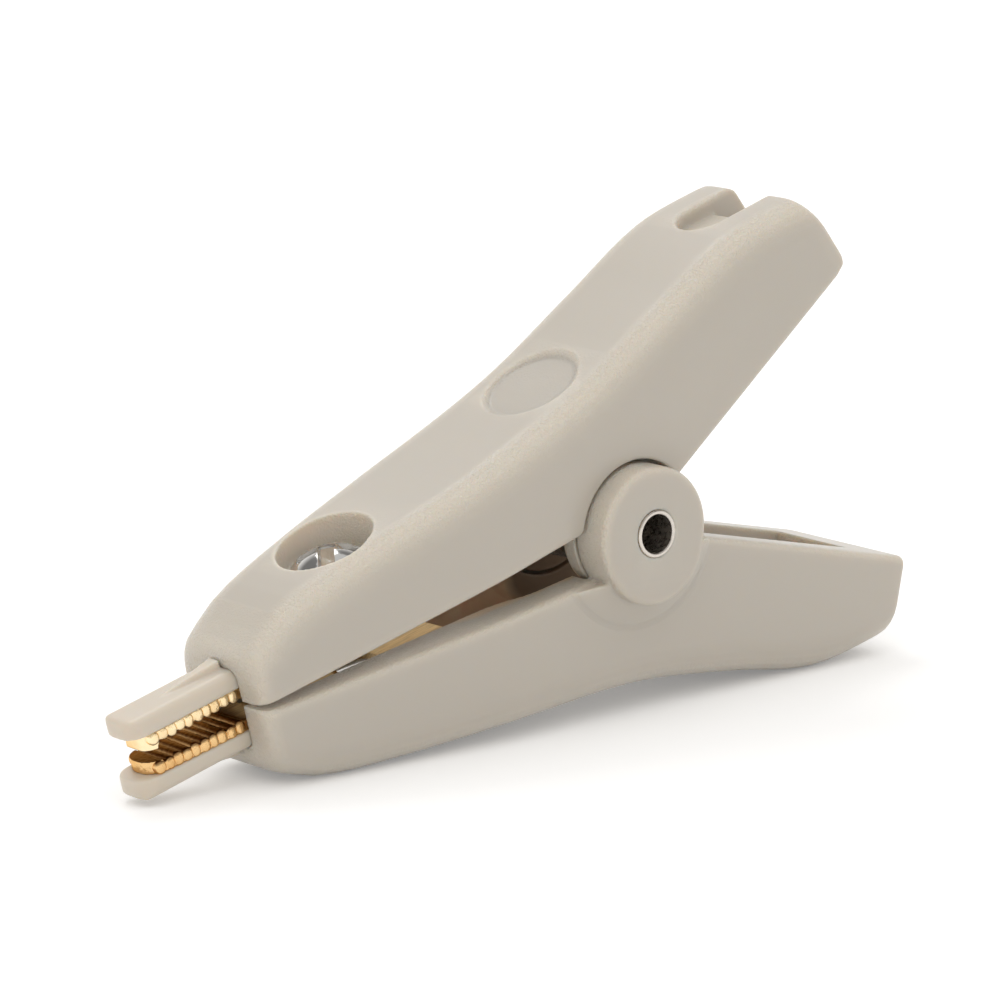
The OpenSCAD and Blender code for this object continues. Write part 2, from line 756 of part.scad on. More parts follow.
module upper_handle() { color(grey_plastic) at_rest() upper_handle_shape(); }
module lower_handle() { color(grey_plastic) at_rest() under() lower_handle_shape(); }
module hinge_tube() {
    color(plated_steel) difference() {
        on_hinge(tube_r, -boss_face - tube_proud, boss_face + tube_proud);
        on_hinge(tube_bore_d / 2, -boss_face - overlap, boss_face + overlap);
    }
}
module torsion_spring() { color(spring_steel) at_rest() spring_shape(); }
module upper_jaw_backing() { color(ivory_plastic) at_rest() jaw_frame(upper_half) jaw_backing_shape(); }
module lower_jaw_backing() {
    color(ivory_plastic) at_rest() under() jaw_frame(lower_half) jaw_backing_shape();
}
module upper_contact() { color(gold_plate) at_rest() jaw_frame(upper_half) contact_shape(); }
module lower_contact() { color(gold_plate) at_rest() under() jaw_frame(lower_half) contact_shape(); }
module upper_screw() { color(plated_steel) at_rest() jaw_frame(upper_half) screw_shape(); }
module lower_screw() { color(plated_steel) at_rest() under() jaw_frame(lower_half) screw_shape(); }

upper_handle();
lower_handle();
hinge_tube();
torsion_spring();
upper_jaw_backing();
lower_jaw_backing();
upper_contact();
lower_contact();
upper_screw();
lower_screw();
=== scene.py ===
"""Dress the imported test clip: moulded handles, ivory jaw backings, toothed gold contacts and steel parts.

Lengths are written in millimetres and turned to metres where a mesh takes its place in the frame.
"""

from __future__ import annotations

import logging
import math
from dataclasses import dataclass, field
from enum import Enum
from typing import Sequence

import bmesh
import bpy
from mathutils import Matrix, Vector

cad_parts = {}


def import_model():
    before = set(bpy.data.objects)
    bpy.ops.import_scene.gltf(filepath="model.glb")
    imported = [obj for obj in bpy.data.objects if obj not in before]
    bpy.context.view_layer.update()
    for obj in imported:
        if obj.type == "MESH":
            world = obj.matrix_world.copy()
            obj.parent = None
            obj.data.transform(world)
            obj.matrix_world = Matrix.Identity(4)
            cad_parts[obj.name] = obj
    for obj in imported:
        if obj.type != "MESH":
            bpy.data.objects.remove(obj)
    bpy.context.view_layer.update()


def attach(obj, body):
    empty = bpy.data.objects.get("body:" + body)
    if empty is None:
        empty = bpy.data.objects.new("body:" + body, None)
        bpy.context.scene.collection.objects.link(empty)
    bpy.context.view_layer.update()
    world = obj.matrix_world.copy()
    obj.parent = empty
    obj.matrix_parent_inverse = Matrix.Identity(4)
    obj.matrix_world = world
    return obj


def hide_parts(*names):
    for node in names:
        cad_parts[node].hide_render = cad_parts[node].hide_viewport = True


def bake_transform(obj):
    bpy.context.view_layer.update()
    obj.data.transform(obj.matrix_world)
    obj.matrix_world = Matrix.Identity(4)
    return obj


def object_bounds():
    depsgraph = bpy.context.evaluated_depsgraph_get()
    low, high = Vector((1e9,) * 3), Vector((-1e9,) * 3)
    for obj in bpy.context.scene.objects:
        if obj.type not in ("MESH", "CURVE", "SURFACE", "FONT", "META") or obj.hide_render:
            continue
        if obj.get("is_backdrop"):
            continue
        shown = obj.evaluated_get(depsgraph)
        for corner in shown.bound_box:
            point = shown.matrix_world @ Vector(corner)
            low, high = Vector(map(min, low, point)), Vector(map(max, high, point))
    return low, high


LOG = logging.getLogger("clip")
MM = 0.001
# Values that a mesh carries for its finish: painted shade where the contacts face each other, and painted
# light on the handles' roundings, nose and rims
BITE_SHADE_ATTR = "bite"
PAINTED_LIGHT = "edge"
# Tilt of the clip as it lies on the floor, in degrees
REST_TILT = 13.6892
Colour = tuple[float, float, float]
Point = tuple[float, float, float]
Range = tuple[float, float]


class Body(Enum):
    """The two halves that turn about the hinge tube."""

    LOWER = "lower"
    UPPER = "upper"


class Slot(Enum):
    """Finish slots, one name for each kind of finish."""

    HANDLE = "handle_plastic"
    BACKING = "backing_plastic"
    GOLD = "gold_plate"
    SCREW = "screw_steel"
    TUBE = "plated_tube"
    SPRING = "spring_wire"


class Tree:
    """Adds nodes to a node tree and joins their sockets."""

    def __init__(self, tree: bpy.types.NodeTree) -> None:
        """Keep the tree that the nodes go into."""
        self.tree = tree

    def add(self, kind: str, inputs: dict | None = None, **settings: object) -> bpy.types.Node:
        """Add one node.

        Args:
            kind: Blender's name of the node type.
            inputs: value, or socket to link from, for each input by name or index.
            settings: properties of the node itself.

        Returns:
            The new node.
        """
        node = self.tree.nodes.new(kind)
        for name, value in settings.items():
            setattr(node, name, value)
        for name, value in (inputs or {}).items():
            socket = node.inputs[name]
            if isinstance(value, bpy.types.NodeSocket):
                self.tree.links.new(value, socket)
            else:
                socket.default_value = value
        return node

    def math(self, operation: str, *values: object) -> bpy.types.NodeSocket:
        """Work out one number from others.

        Args:
            operation: Blender's name of the operation.
            values: numbers or sockets, in the order of the node's inputs.

        Returns:
            The socket that holds the result.
        """
        node = self.add("ShaderNodeMath", dict(enumerate(values)), operation=operation)
        return node.outputs[0]

    def ramp(
        self, value: object, low: float, high: float, to_low: object, to_high: object
    ) -> bpy.types.NodeSocket:
        """Map a number from one range to another, held at its ends.

        Args:
            value: number or socket to map.
            low, high: range that it comes from.
            to_low, to_high: range that it goes to, as numbers or sockets.

        Returns:
            The socket that holds the result.
        """
        inputs = {0: value, 1: low, 2: high, 3: to_low, 4: to_high}
        return self.add("ShaderNodeMapRange", inputs).outputs[0]

    def blend(self, share: object, a: object, b: object) -> bpy.types.NodeSocket:
        """Mix two colours.

        Args:
            share: how much of the second colour, from 0 to 1.
            a, b: colours or sockets.

        Returns:
            The socket that holds the mixed colour.
        """
        colours = [c if isinstance(c, bpy.types.NodeSocket) else (*c, 1.0) for c in (a, b)]
        node = self.add("ShaderNodeMix", {0: share, 6: colours[0], 7: colours[1]}, data_type="RGBA")
        return node.outputs[2]

    def place(self) -> bpy.types.NodeSocket:
        """Return the point of the piece in the frame, in metres."""
        return self.add("ShaderNodeTexCoord").outputs["Object"]

    def off_hinge(self, point: object) -> bpy.types.NodeSocket:
        """Return the distance of a point from the hinge axis, in metres."""
        axes = self.add("ShaderNodeSeparateXYZ", {0: point}).outputs
        squares = self.math("MULTIPLY_ADD", axes[0], axes[0], self.math("MULTIPLY", axes[2], axes[2]))
        return self.math("SQRT", squares)

    def noise(self, point: object, feature: float, detail: float = 2.0) -> bpy.types.NodeSocket:
        """Return noise whose grains are about one feature, in millimetres, across."""
        inputs = {"Vector": point, "Scale": 1.0 / (feature * MM), "Detail": detail}
        return self.add("ShaderNodeTexNoise", inputs).outputs[0]

    def turned(self, point: object, angles: Sequence[float], scale: Sequence[float]) -> bpy.types.NodeSocket:
        """Turn, then stretch, the coordinates of a pattern.

        Args:
            point: socket with the coordinates.
            angles: turns about x, y and z, in degrees.
            scale: stretch along each turned axis.

        Returns:
            The socket with the new coordinates.
        """
        turn = [math.radians(a) for a in angles]
        inputs = {"Vector": point, "Rotation": turn, "Scale": scale}
        return self.add("ShaderNodeMapping", inputs).outputs[0]

    def bump(
        self, height: object, depth: float, strength: float, below: object = None
    ) -> bpy.types.NodeSocket:
        """Turn a height into a normal.

        Args:
            height: socket with the height, from 0 to 1.
            depth: size of the bumps, in millimetres.
            strength: share of the effect.
            below: normal that the bumps lie on, if any.

        Returns:
            The socket with the normal.
        """
        inputs = {"Height": height, "Distance": depth * MM, "Strength": strength}
        if below is not None:
            inputs["Normal"] = below
        return self.add("ShaderNodeBump", inputs).outputs[0]


@dataclass(frozen=True)
class Finish:
    """A finish with its colour and shine; each kind below adds its own grain."""

    name: str
    colour: Colour
    roughness: float
    metallic: float = 0.0

    def material(self) -> bpy.types.Material:
        """Return the material, made when it is first asked for."""
        found = bpy.data.materials.get(self.name)
        if found is not None:
            return found
        material = bpy.data.materials.new(self.name)
        material.use_nodes = True
        tree = Tree(material.node_tree)
        shader = material.node_tree.nodes["Principled BSDF"]
        shader.inputs["Base Color"].default_value = (*self.colour, 1.0)
        shader.inputs["Roughness"].default_value = self.roughness
        shader.inputs["Metallic"].default_value = self.metallic
        for socket, value in self.grain(tree, shader).items():
            tree.tree.links.new(value, shader.inputs[socket])
        return material

    def grain(self, tree: Tree, shader: bpy.types.Node) -> dict[str, bpy.types.NodeSocket]:
        """Return what drives each of the shader's sockets that varies over the surface."""
        return {}


@dataclass(frozen=True)
class Patch:
    """A ball-shaped region where a finish changes its tone."""

    centre: Point
    radius: float
    tone: Colour
    soft: float = 0.45

    def share(self, tree: Tree, point: bpy.types.NodeSocket) -> bpy.types.NodeSocket:
        """Return 1 inside the ball and 0 outside it, with a soft border within its radius."""
        centre = [c * MM for c in self.centre]
        off = tree.add("ShaderNodeVectorMath", {0: point, 1: centre}, operation="DISTANCE").outputs["Value"]
        return tree.ramp(off, (self.radius - self.soft) * MM, self.radius * MM, 1.0, 0.0)


@dataclass(frozen=True)
class MouldedPlastic(Finish):
    """Moulded plastic: translucent, with painted light in its colour that makes it paler on its roundings,
    nose and rims, and a fine stipple on its roundings.
    """

    stipple: float = 0.2
    stipple_depth: float = 0.2
    stipple_strength: float = 0.8
    stipple_edge: Range = (0.1, 0.8)
    depth_scale: float = 1.8
    glow: float = 0.5
    glow_spread: Colour = (1.0, 0.7, 0.45)
    # Painted light: tone of the paler roundings, nose and rims
    painted_light_tone: Colour = (1.29, 1.29, 1.27)
    patches: tuple[Patch, ...] = ()
    pad_r: float = 0.0
    pad_slope: float = 0.3
    pad_depth: float = 0.14
    pad_fade: Range = (-4.0, -2.0)

    def grain(self, tree: Tree, shader: bpy.types.Node) -> dict[str, bpy.types.NodeSocket]:
        """Return the sockets for the colour, with its painted light and shade, and the stipple."""
        shader.inputs["Subsurface Weight"].default_value = self.glow
        shader.inputs["Subsurface Scale"].default_value = self.depth_scale * MM
        shader.inputs["Subsurface Radius"].default_value = self.glow_spread
        point = tree.place()
        # edge holds the painted light of each point, from its roundings, nose and rims
        edge = tree.add("ShaderNodeAttribute", attribute_name=PAINTED_LIGHT).outputs["Fac"]
        grained = tree.ramp(edge, *self.stipple_edge, 0.0, 1.0)
        fine = tree.math("MULTIPLY", tree.noise(point, self.stipple), grained)
        # Painted light: the colour turns paler where edge is high
        colour = tree.blend(edge, self.colour, self.toned(self.painted_light_tone))
        for patch in self.patches:
            colour = tree.blend(patch.share(tree, point), colour, self.toned(patch.tone))
        below = self.pad(tree, point) if self.pad_r else None
        return {
            "Base Color": colour,
            "Normal": tree.bump(fine, self.stipple_depth, self.stipple_strength, below),
        }

    def toned(self, tone: Colour) -> Colour:
        """Return the finish's colour times a tone."""
        return tuple(min(c * t, 1.0) for c, t in zip(self.colour, tone))

    def pad(self, tree: Tree, point: bpy.types.NodeSocket) -> bpy.types.NodeSocket:
        """Return the normal of the shallow round pad about the hinge, which shows only below it."""
        inner, outer = ((self.pad_r + side * self.pad_slope) * MM for side in (-1, 1))
        step = tree.ramp(tree.off_hinge(point), inner, outer, 1.0, 0.0)
        height = tree.add("ShaderNodeSeparateXYZ", {0: point}).outputs[2]
        low = tree.ramp(height, *(z * MM for z in self.pad_fade), 1.0, 0.0)
        return tree.bump(tree.math("MULTIPLY", step, low), self.pad_depth, 1.0)


@dataclass(frozen=True)
class PlatedContact(Finish):
    """Gold plate at the bite, with painted shade where the bars face each other, and a filed brass bar inside
    the nose.
    """

    brass: Colour = (1.0, 0.8, 0.5)
    # Painted shade: dark brown colour where the two bars face each other across the gap
    bite_shade: Colour = (0.13, 0.04, 0.011)
    bite_shade_range: Range = (0.25, 0.9)
    edge_tint: Colour = (0.97, 0.75, 0.5)
    tarnish: float = 2.4
    tarnish_tone: Colour = (0.86, 0.74, 0.6)
    tarnish_spots: Range = (0.4, 0.75)
    plate_end_x: float = -36.5
    plate_fade: float = 0.6
    file_turn: float = 38.0
    file_stretch: Point = (0.04, 1.0, 0.3)
    file_mark: float = 0.16
    file_spots: Range = (0.35, 0.65)
    file_tone: float = 0.74
    file_depth: float = 0.04
    file_strength: float = 0.6
    dent: float = 0.35
    dent_depth: float = 0.07
    dent_strength: float = 0.8
    dulled: float = 0.16

    def grain(self, tree: Tree, shader: bpy.types.Node) -> dict[str, bpy.types.NodeSocket]:
        """Return the sockets for the two tones, the painted shade at the bite, the file marks and the small
        dents.
        """
        shader.inputs["Specular Tint"].default_value = (*self.edge_tint, 1.0)
        point = tree.place()
        x = tree.add("ShaderNodeSeparateXYZ", {0: point}).outputs[0]
        first, last = ((self.plate_end_x + side * self.plate_fade) * MM for side in (-1, 1))
        inside = tree.ramp(x, first, last, 0.0, 1.0)
        marks = tree.noise(tree.turned(point, (0, 0, self.file_turn), self.file_stretch), self.file_mark, 3.0)
        worn = tuple(c * self.file_tone for c in self.brass)
        filed = tree.blend(tree.ramp(marks, *self.file_spots, 0.0, 1.0), worn, self.brass)
        tarnish = tree.noise(point, self.tarnish, 3.0)
        deep = tuple(c * t for c, t in zip(self.colour, self.tarnish_tone))
        plate = tree.blend(tree.ramp(tarnish, *self.tarnish_spots, 0.0, 1.0), self.colour, deep)
        bite = tree.add("ShaderNodeAttribute", attribute_name=BITE_SHADE_ATTR).outputs["Fac"]
        # Painted shade on the faces that look at the other contact
        bite_shaded = tree.blend(tree.ramp(bite, *self.bite_shade_range, 0.0, 1.0), plate, self.bite_shade)
        dull = tree.math("MAXIMUM", inside, bite)
        dents = tree.bump(tree.noise(point, self.dent), self.dent_depth, self.dent_strength)
        scored = tree.math("MULTIPLY", marks, inside)
        return {
            "Base Color": tree.blend(inside, bite_shaded, filed),
            "Roughness": tree.ramp(dull, 0.0, 1.0, self.roughness, self.roughness + self.dulled),
            "Normal": tree.bump(scored, self.file_depth, self.file_strength, dents),
        }


@dataclass(frozen=True)
class PlatedSteel(Finish):
    """Bright plate with a slight haze and a fine ripple."""

    haze: float = 0.9
    haze_spots: Range = (0.3, 0.7)
    shine: Range = (0.7, 1.5)
    ripple: float = 0.12
    ripple_depth: float = 0.004
    ripple_strength: float = 0.25

    def grain(self, tree: Tree, shader: bpy.types.Node) -> dict[str, bpy.types.NodeSocket]:
        """Return the sockets for the uneven shine and the fine ripple."""
        point = tree.place()
        haze = tree.noise(point, self.haze, 3.0)
        bright, dull = (self.roughness * share for share in self.shine)
        return {
            "Roughness": tree.ramp(haze, *self.haze_spots, bright, dull),
            "Normal": tree.bump(tree.noise(point, self.ripple), self.ripple_depth, self.ripple_strength),
        }


@dataclass(frozen=True)
class PlatedTube(Finish):
    """Nickel on the outside and the rims, with painted shade in the bore."""

    bore_shade: Colour = (0.64, 0.6, 0.55)
    bore_r: float = 1.72
    bore_fade: float = 0.06
    wear: float = 0.35
    wear_spots: Range = (0.3, 0.7)
    wear_depth: float = 0.012
    wear_strength: float = 0.3
    shine: Range = (0.7, 1.4)

    def grain(self, tree: Tree, shader: bpy.types.Node) -> dict[str, bpy.types.NodeSocket]:
        """Return the sockets for the painted shade in the bore and the worn rims."""
        point = tree.place()
        out = tree.ramp(
            tree.off_hinge(point), self.bore_r * MM, (self.bore_r + self.bore_fade) * MM, 0.0, 1.0)
        wear = tree.noise(point, self.wear, 3.0)
        bright, dull = (self.roughness * share for share in self.shine)
        return {
            "Base Color": tree.blend(out, self.bore_shade, self.colour),
            "Roughness": tree.ramp(wear, *self.wear_spots, bright, dull),
            "Normal": tree.bump(wear, self.wear_depth, self.wear_strength),
        }


# Places of the handles that differ in tone: the thumb dishes; the screw recesses, paler with painted light;
# and the open mouth, with painted light along it and painted shade deep inside
DISHES = ((-5.0, 0.0, 12.0), (1.3, 0.0, -13.9))
DISH_R = 4.2
DISH_TONE = (0.94, 0.94, 0.94)
RECESSES = ((-26.85, 0.0, 1.5), (-22.95, 0.0, -15.0))
RECESS_R = 4.6
# Painted light: the screw recess walls are paler, as if lit through the plastic
RECESS_PAINTED_LIGHT = (1.33, 1.31, 1.28)
MOUTH_SLOPE = 0.245
MOUTH_DROP = 5.0
MOUTH_R = 5.8
MOUTH_SOFT = 0.7
MOUTH_X = (-14.0, -11.0, -8.0, -5.0)
# Painted light: the mouth is paler and warmer, as if lit by light bounced inside it
MOUTH_PAINTED_LIGHT = (1.6, 1.32, 1.05)
DEEP_X = (-1.0, 2.0)
# Painted shade: darker deep in the mouth toward the hinge
DEEP_PAINTED_SHADE = (0.62, 0.48, 0.38)


def mouth_patch(x: float, tone: Colour) -> Patch:
    """Return the patch that tones the inside of the mouth, with painted light or painted shade as its tone
    gives, at one place along the clip.
    """
    return Patch((x, 0.0, MOUTH_SLOPE * x - MOUTH_DROP), MOUTH_R, tone, MOUTH_SOFT)


HANDLE = MouldedPlastic("stippled_grey", (0.538, 0.495, 0.43), 0.28, pad_r=8.3, patches=(
    *(Patch(at, DISH_R, DISH_TONE) for at in DISHES),
    *(Patch(at, RECESS_R, RECESS_PAINTED_LIGHT) for at in RECESSES),
    *(mouth_patch(x, MOUTH_PAINTED_LIGHT) for x in MOUTH_X),
    *(mouth_patch(x, DEEP_PAINTED_SHADE) for x in DEEP_X),
))
# The ivory backings take no painted light on their edges
BACKING = MouldedPlastic(
    "soft_ivory", (0.66, 0.59, 0.495), 0.34, stipple_depth=0.012, painted_light_tone=(1.0, 1.0, 1.0))
GOLD = PlatedContact("worn_gold", (1.0, 0.82, 0.52), 0.22, 1.0)
# Painted shade: a darker, more orange copy of the gold for the lower contact, which lies less in the light
SHADED_GOLD = PlatedContact("red_gold", (0.85, 0.56, 0.26), 0.22, 1.0)
STEEL = PlatedSteel("bright_plate", (0.72, 0.71, 0.69), 0.1, 1.0)
NICKEL = PlatedTube("nickel_rim", (0.66, 0.61, 0.55), 0.28, 1.0)
WIRE = PlatedSteel("drawn_wire", (0.42, 0.41, 0.4), 0.3, 1.0)


def linked(name: str, data: bpy.types.ID) -> bpy.types.Object:
    """Put a mesh, a light or a camera into the scene as an object at the origin."""
    obj = bpy.data.objects.new(name, data)
    bpy.context.scene.collection.objects.link(obj)
    return obj


def baked(obj: bpy.types.Object) -> bpy.types.Object:
    """Apply the modifiers of an object.

    Args:
        obj: object whose modifiers are done.

    Returns:
        The same object, with a plain mesh.
    """
    graph = bpy.context.evaluated_depsgraph_get()
    mesh = bpy.data.meshes.new_from_object(obj.evaluated_get(graph), depsgraph=graph)
    old = obj.data
    obj.modifiers.clear()
    obj.data = mesh
    bpy.data.meshes.remove(old)
    mesh.name = obj.name
    return obj


def scaled(obj: bpy.types.Object, factor: float) -> None:
    """Scale a mesh about the origin."""
    obj.data.transform(Matrix.Scale(factor, 4))


def smooth_shaded(obj: bpy.types.Object, crease: float = 180.0) -> None:
    """Shade a mesh smoothly.

    Args:
        obj: object to shade.
        crease: edges sharper than this stay sharp, in degrees.
    """
    mesh = obj.data
    mesh.shade_smooth()
    if crease < 180.0:
        mesh.set_sharp_from_angle(angle=math.radians(crease))


def part_way(value: float, low: float, high: float) -> float:
    """Return how far a number has come from low to high, held between 0 and 1."""
    return min(max((value - low) / (high - low), 0.0), 1.0)


def dressed(
    obj: bpy.types.Object, finish: Finish, slot: Slot, body: Body | None, *nodes: str
) -> bpy.types.Object:
    """Give a finished piece its material and body, and hide the CAD nodes that it stands for.

    Args:
        obj: the piece.
        finish: its finish.
        slot: not used.
        body: the half that it moves with, or None to leave it on neither half.
        nodes: CAD nodes that it replaces.

    Returns:
        The same piece.
    """
    obj.data.materials.clear()
    obj.data.materials.append(finish.material())
    if body is not None:
        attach(obj, body.value)
    if nodes:
        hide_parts(*nodes)
    LOG.info("%s: %d faces on %s", obj.name, len(obj.data.polygons), body.value if body else "both halves")
    return obj


@dataclass(frozen=True)
class PaintedEdgeLight:
    """Where painted light makes a moulding paler, by the way its surface faces: on roundings, more where they
    face up, on the nose and on rims.
    """

    round_start: Range = (0.08, 0.38)
    round_end: Range = (0.98, 0.73)
    level_share: float = 0.65
    rise_share: float = 1.75
    least_share: float = 0.3
    nose: Range = (0.55, 0.85)
    nose_share: float = 0.8
    rim: Range = (0.6, 0.9)
    blur_passes: int = 10

    def value(self, normal: Vector, on_rim: bool) -> float:
        """Return the share of painted light at a point: how far it lies on a rounding, on the nose or on a
        rim.

        Args:
            normal: normal of the surface at the point.
            on_rim: whether the point is on a rim if its surface looks up.

        Returns:
            The share, from 0 to 1.
        """
        side = abs(normal.y)
        rounding = part_way(side, *self.round_start) * part_way(side, *self.round_end)
        # Roundings that face up take more painted light
        above = min(max(self.level_share + normal.z * self.rise_share, self.least_share), 1.0)
        nose = part_way(-normal.x, *self.nose)
        rim = part_way(normal.z, *self.rim) if on_rim else 0.0
        return max(rounding * above, nose * self.nose_share, rim)


PAINTED_EDGE_LIGHT = PaintedEdgeLight()


@dataclass
class MouldedPiece:
    """A CAD piece remade as one smooth skin, with its edges eased as a moulding's are."""

    node: str
    body: Body
    finish: Finish
    slot: Slot
    cell: float = 0.2
    ease_passes: int = 5
    keep: float = 1.0
    # Whether the rims beside the mouth take painted light
    rims: bool = False
    ease_share: float = 0.5
    merge: float = 0.002

    def build(self) -> bpy.types.Object:
        """Return the skin, in metres, at its place in the frame."""
        obj = linked(self.node + "_skin", self.merged_copy())
        remesh = obj.modifiers.new("skin", "REMESH")
        remesh.mode = "VOXEL"
        remesh.voxel_size = self.cell
        ease = obj.modifiers.new("ease", "SMOOTH")
        ease.factor = self.ease_share
        ease.iterations = self.ease_passes
        if self.keep < 1.0:
            obj.modifiers.new("thin", "DECIMATE").ratio = self.keep
        baked(obj)
        scaled(obj, MM)
        smooth_shaded(obj)
        self.mark_painted_light(obj)
        return obj

    def mark_painted_light(self, obj: bpy.types.Object) -> None:
        """Store the painted light of each point: how far it lies on a rounding, on the nose or on a rim
        beside the mouth.
        """
        values = [PAINTED_EDGE_LIGHT.value(v.normal, self.rims and v.co.x < 0) for v in obj.data.vertices]
        obj.data.attributes.new(PAINTED_LIGHT, "FLOAT", "POINT").data.foreach_set("value", values)
        tree = Grower("edge_blur", {"Passes": "NodeSocketInt", "Material": "NodeSocketMaterial"})
        found = tree.add("GeometryNodeInputNamedAttribute", {"Name": PAINTED_LIGHT}).outputs["Attribute"]
        blur = tree.add("GeometryNodeBlurAttribute", {"Value": found, "Iterations": tree.given["Passes"]})
        kept = tree.add("GeometryNodeStoreNamedAttribute", {
            0: tree.given["Geometry"], "Name": PAINTED_LIGHT, "Value": blur.outputs[0]}, domain="POINT")
        tree.end(kept.outputs[0])
        tree.run(obj, Passes=PAINTED_EDGE_LIGHT.blur_passes, Material=self.finish.material())

    def merged_copy(self) -> bpy.types.Mesh:
        """Return the node's mesh in millimetres, with its loose triangles joined up."""
        work = bmesh.new()
        work.from_mesh(bpy.data.objects[self.node].data)
        bmesh.ops.scale(work, vec=(1 / MM, 1 / MM, 1 / MM), verts=work.verts)
        bmesh.ops.remove_doubles(work, verts=work.verts, dist=self.merge)
        mesh = bpy.data.meshes.new(self.node + "_skin")
        work.to_mesh(mesh)
        work.free()
        return mesh

    def dress(self) -> bpy.types.Object:
        """Build the piece and give it its finish."""
        return dressed(self.build(), self.finish, self.slot, self.body, self.node)


@dataclass(frozen=True)
class JawFrame:
    """Where a jaw lies: x runs in from its tip, z out from the biting face, in millimetres."""

    body: Body
    slope: float
    bite: float = 0.6
    tip_l: float = 49.2
    tip_gap: float = 0.36

    def matrix(self) -> Matrix:
        """Return the placement of the jaw in the frame of the clip, in millimetres."""
        upper = self.body is Body.UPPER
        half = Matrix() if upper else Matrix.Scale(-1.0, 4, (0, 0, 1))
        turn = self.bite if upper else -self.bite
        tip = Matrix.Translation((-self.tip_l, 0.0, self.tip_gap / 2))
        return about_y(-REST_TILT) @ half @ about_y(-turn) @ tip @ about_y(-self.slope)


def about_y(degrees: float) -> Matrix:
    """Return a turn about the hinge axis."""
    return Matrix.Rotation(math.radians(degrees), 4, "Y")


UPPER_JAW = JawFrame(Body.UPPER, -0.3)
LOWER_JAW = JawFrame(Body.LOWER, 1.6)


class Grower(Tree):
    """A Geometry Nodes tree with named inputs, run on an object and then baked."""

    def __init__(self, name: str, inputs: dict[str, str]) -> None:
        """Make the tree.

        Args:
            name: name of the tree.
            inputs: socket type of each input after the geometry, by name.
        """
        super().__init__(bpy.data.node_groups.new(name, "GeometryNodeTree"))
        self.tree.interface.new_socket("Geometry", in_out="INPUT", socket_type="NodeSocketGeometry")
        for label, kind in inputs.items():
            self.tree.interface.new_socket(label, in_out="INPUT", socket_type=kind)
        self.tree.interface.new_socket("Geometry", in_out="OUTPUT", socket_type="NodeSocketGeometry")
        self.given = self.add("NodeGroupInput").outputs

    def end(self, geometry: bpy.types.NodeSocket) -> None:
        """Make the grown geometry real, give it its material and hand it out."""
        real = self.add("GeometryNodeRealizeInstances", {0: geometry}).outputs[0]
        dyed = self.add("GeometryNodeSetMaterial", {0: real, "Material": self.given["Material"]})
        self.add("NodeGroupOutput", {0: dyed.outputs[0]})

    def run(self, obj: bpy.types.Object, **values: object) -> bpy.types.Object:
        """Grow an object.

        Args:
            obj: object that gives the geometry.
            values: value of each input, by name.

        Returns:
            The same object, with a plain mesh.
        """
        grow = obj.modifiers.new(self.tree.name, "NODES")
        grow.node_group = self.tree
        for item in self.tree.interface.items_tree:
            if item.in_out == "INPUT" and item.name in values:
                grow[item.identifier] = values[item.name]
        return baked(obj)


